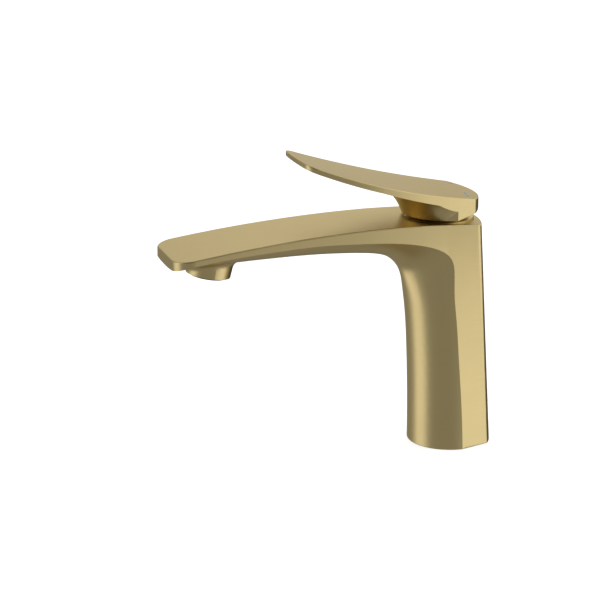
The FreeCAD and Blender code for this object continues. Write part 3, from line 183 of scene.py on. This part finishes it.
def moulded(name, colour, gloss=0.42):
    """Injection-moulded plastic with a fine eroded texture."""
    finish = Finish(name, Roughness=gloss)
    pits = finish.speckle(3200.0)
    darker = tuple(part * 0.82 for part in colour) + (1.0,)
    finish.drive("Base Color", finish.mix(pits, colour + (1.0,), darker))
    finish.drive("Roughness", gloss + pits * 0.12)
    finish.drive("Normal", finish.bump(pits, 0.18, 0.00002))
    return finish.material


black_nylon = moulded("black_nylon", (0.022, 0.022, 0.024))
grey_nylon = moulded("grey_nylon", (0.30, 0.31, 0.32))
white_nylon = moulded("white_nylon", (0.78, 0.78, 0.75))
dress("cartridge_base", black_nylon)
dress("cartridge_housing", white_nylon)
dress("swivel_carrier", grey_nylon)
dress("disc_driver", grey_nylon)
dress("temperature_limit_ring", moulded("red_nylon", (0.48, 0.03, 0.025)))
dress("port_seals", seal_rubber)
dress("housing_o_ring", seal_rubber)

# Ceramic discs: lapped alumina, flat to a light band, the lower one fixed with its three
# ports and the upper one sliding on it.
alumina = Finish("alumina", Roughness=0.16, Coat_Weight=0.3)
alumina_grain = alumina.speckle(5200.0)
alumina.drive("Base Color", alumina.mix(alumina_grain, (0.86, 0.85, 0.81, 1), (0.78, 0.77, 0.73, 1)))
alumina.drive("Roughness", 0.12 + alumina_grain * 0.1)
dress("lower_ceramic_disc", alumina.material)
dress("upper_ceramic_disc", alumina.material)

# Stem and pivot pin: a machined brass stem, square above the pivot, that turns on a ground
# stainless pin pushed through the carrier.


def machined(name, colour, per_metre, smoothness):
    """Bare turned or drawn metal with its tool marks."""
    finish = Finish(name, Metallic=1.0)
    marks = finish.streaks(per_metre)
    darker = tuple(part * 0.86 for part in colour) + (1.0,)
    finish.drive("Base Color", finish.mix(marks, colour + (1.0,), darker))
    finish.drive("Roughness", smoothness + marks * 0.14)
    finish.drive("Normal", finish.bump(marks, 0.2, 0.00003))
    return finish.material


bare_brass = machined("bare_brass", (0.76, 0.56, 0.24), (300.0, 300.0, 5200.0), 0.22)
stainless = machined("stainless", (0.56, 0.56, 0.57), (5200.0, 300.0, 300.0), 0.18)
dress("cartridge_stem", bare_brass)
dress("stem_pivot_pin", stainless)

# Retaining nut: a turned brass ring with a fine thread and six notches for its spanner, which
# clamps the cartridge into the casting.
dress("retaining_nut", bare_brass)

# Dome cover: a turned brass cap ring in the same gold finish, lying over the nut on a smooth
# black slip ring, so that only its rim shows between the lever and the column.


def turned_grain(finish):
    return finish.streaks((60.0, 60.0, 5200.0))


dress("dome_cover", brushed_gold("gold_cover", turned_grain, 0.24), 40.0)
dress("dome_slip_ring", moulded("slip_nylon", (0.035, 0.035, 0.036), 0.3))

# Aerator: a black nylon insert screwed into the outlet with a rubber washer above it, and
# inside it a flow straightener, a jet plate and a fine steel screen.
dress("aerator_housing", moulded("aerator_black", (0.03, 0.031, 0.036), 0.36))
dress("aerator_seal", seal_rubber)
dress("aerator_straightener", white_nylon)
dress("aerator_diffuser", grey_nylon)
dress("aerator_screen", stainless)

# Lever: a broad cast brass lever with a hollow hub that drops over the stem, brushed along
# its length and coated like the casting.


def lever_grain(finish):
    return finish.streaks((1900.0, 45.0, 900.0))


lever = dress("lever_handle", brushed_gold("gold_lever", lever_grain), 55.0)

# Grub screw and its cap: an M4 stainless grub screw in the back of the hub clamps the stem,
# and a small gold-coloured cap closes its hole.
dress("handle_set_screw", stainless)
dress("screw_plug", moulded("gold_cap", (0.50, 0.40, 0.21), 0.34))

# Hot and cold marks: two short dashes of enamel, red on the left and blue on the right,
# printed on the lever's top just in front of its rear edge.
MARK_HALF_WIDTH = 0.00055
MARK_RAISE = 0.00006


def lever_top(x, y):
    found, spot, _, _ = lever.ray_cast(Vector((x, y, 0.5)), Vector((0, 0, -1)))
    return spot


def enamel_dash(name, start, finish, colour):
    """A flat dash that lies on the lever from start to finish, with round ends."""
    run = Vector((finish[0] - start[0], finish[1] - start[1]))
    along = run.normalized()
    side = Vector((-along.y, along.x))
    outline = []
    for centre, turn in ((Vector(finish), 0), (Vector(start), 180)):
        for step in range(9):
            angle = math.radians(turn + 90 - step * 22.5)
            reach = along * math.cos(angle) + side * math.sin(angle)
            outline.append(centre + reach * MARK_HALF_WIDTH)
    low = [lever_top(spot.x, spot.y) - Vector((0, 0, MARK_RAISE)) for spot in outline]
    high = [spot + Vector((0, 0, MARK_RAISE * 2)) for spot in low]
    count = len(outline)
    faces = [tuple(range(count))[::-1], tuple(range(count, 2 * count))]
    faces += [(i, (i + 1) % count, (i + 1) % count + count, i + count) for i in range(count)]
    mesh = bpy.data.meshes.new(name)
    mesh.from_pydata([tuple(spot) for spot in low + high], [], [face[::-1] for face in faces])
    mesh.update()
    dash = bpy.data.objects.new(name, mesh)
    bpy.context.scene.collection.objects.link(dash)
    enamel = Finish(name + "_enamel", Roughness=0.3, Coat_Weight=0.4)
    tone = enamel.speckle(1800.0)
    paler = tuple(part * 0.7 + 0.12 for part in colour) + (1.0,)
    enamel.drive("Base Color", enamel.mix(tone * 0.5, colour + (1.0,), paler))
    mesh.materials.append(enamel.material)
    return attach(dash, "lever")


enamel_dash("cold_mark", (0.0072, 0.0050), (0.0176, 0.0031), (0.07, 0.30, 0.46))
enamel_dash("hot_mark", (-0.0172, 0.0049), (-0.0152, 0.0062), (0.70, 0.12, 0.05))

# Studio: a pale floor and a large light tent. The tent is dim towards the viewer, and has one
# tall bright panel on each side and a softer one behind.


def studio_mesh(name, vertices, faces):
    mesh = bpy.data.meshes.new(name)
    mesh.from_pydata(vertices, [], faces)
    thing = bpy.data.objects.new(name, mesh)
    bpy.context.scene.collection.objects.link(thing)
    return thing


floor = studio_mesh("floor", [(-6, -6, 0), (6, -6, 0), (6, 6, 0), (-6, 6, 0)], [(0, 1, 2, 3)])
floor_paint = Finish("floor_paint", Roughness=0.9, Emission_Strength=0.75)
floor_paint.surface.inputs["Base Color"].default_value = (0.9, 0.9, 0.9, 1)
floor_paint.surface.inputs["Emission Color"].default_value = (1, 1, 1, 1)
floor.data.materials.append(floor_paint.material)
floor.visible_glossy = False

TENT = 4.0
RINGS, SPOKES = 24, 48
tent_points = []
for ring in range(RINGS + 1):
    rise = math.pi * ring / RINGS - math.pi / 2
    for spoke in range(SPOKES):
        turn = 2 * math.pi * spoke / SPOKES
        tent_points.append((TENT * math.cos(rise) * math.cos(turn),
                            TENT * math.cos(rise) * math.sin(turn), TENT * math.sin(rise)))
tent_faces = [
    (ring * SPOKES + spoke, ring * SPOKES + (spoke + 1) % SPOKES,
     (ring + 1) * SPOKES + (spoke + 1) % SPOKES, (ring + 1) * SPOKES + spoke)
    for ring in range(RINGS) for spoke in range(SPOKES)
]
tent = studio_mesh("light_tent", tent_points, tent_faces)
tent.visible_camera = False
tent.visible_shadow = False
tent_light = Finish("tent_light", "ShaderNodeEmission", Strength=1.0)
spot = tent_light.add("ShaderNodeVectorMath", {"operation": "NORMALIZE"},
                      {0: tent_light.place()})
split = tent_light.add("ShaderNodeSeparateXYZ", {}, {0: spot})
parts = split.socket.node.outputs
east, north, up = (Wire(tent_light, parts[axis]) for axis in "XYZ")
turn_round = tent_light.add("ShaderNodeMath", {"operation": "ARCTAN2"}, {0: east, 1: 0 - north})
turn_round = turn_round * (180 / math.pi)


def band(value, low, high, soft):
    """1 between low and high, fading over soft on both sides."""
    rising = tent_light.step(value, low - soft, low + soft)
    return rising * (1 - tent_light.step(value, high - soft, high + soft))


right_panel = band(turn_round, 114, 168, 4) * band(up, -0.72, 0.9, 0.12)
left_panel = band(turn_round, -34, 9, 9) * band(up, -0.72, 0.9, 0.12)
behind = (tent_light.step(turn_round, 168, 190) + (1 - tent_light.step(turn_round, -110, -60))) \
    * tent_light.step(up, -0.1, 0.12)
shaded_strip = band(turn_round, -130, -117, 5) * tent_light.step(up, -0.1, 0.12)
corner = (band(turn_round, 172, 190, 3) + band(turn_round, -190, -110, 5)) * band(up, -0.6, -0.1, 0.1)
over_camera = band(turn_round, 5, 118, 14) * tent_light.step(up, 0.25, 0.45)
glow = 0.30 + right_panel * 0.80 + left_panel * 0.76 + behind * 0.48
glow = (glow - shaded_strip * 0.30 - corner * 0.26) * (1 - over_camera * 0.85)
tent_light.feed(tent_light.surface.inputs["Color"], tent_light.add(
    "ShaderNodeCombineXYZ", {}, {0: glow, 1: glow, 2: glow}))
tent.data.materials.append(tent_light.material)

world = bpy.data.worlds.new("white_room")
world.use_nodes = True
world.node_tree.nodes["Background"].inputs["Color"].default_value = (1, 1, 1, 1)
world.node_tree.nodes["Background"].inputs["Strength"].default_value = 1.0
bpy.context.scene.world = world
bpy.context.scene.view_settings.view_transform = "Standard"

# Camera: a long lens, from the cold side and a little in front, looking down slightly.
AZIMUTH, ELEVATION = math.radians(71.0), math.radians(17.449)
back = Vector((math.sin(AZIMUTH) * math.cos(ELEVATION),
               -math.cos(AZIMUTH) * math.cos(ELEVATION), math.sin(ELEVATION)))
right = Vector((math.cos(AZIMUTH), math.sin(AZIMUTH), 0))
above = back.cross(right)
lens = bpy.data.cameras.new("camera")
lens.sensor_width = 36.0
lens.lens = 132.0
lens.clip_end = 50.0
camera = bpy.data.objects.new("camera", lens)
camera.matrix_world = Matrix.Translation((1.15132, -0.49047, 0.47869)) @ Matrix(
    (right, above, back)).transposed().to_4x4()
bpy.context.scene.collection.objects.link(camera)
bpy.context.scene.camera = camera
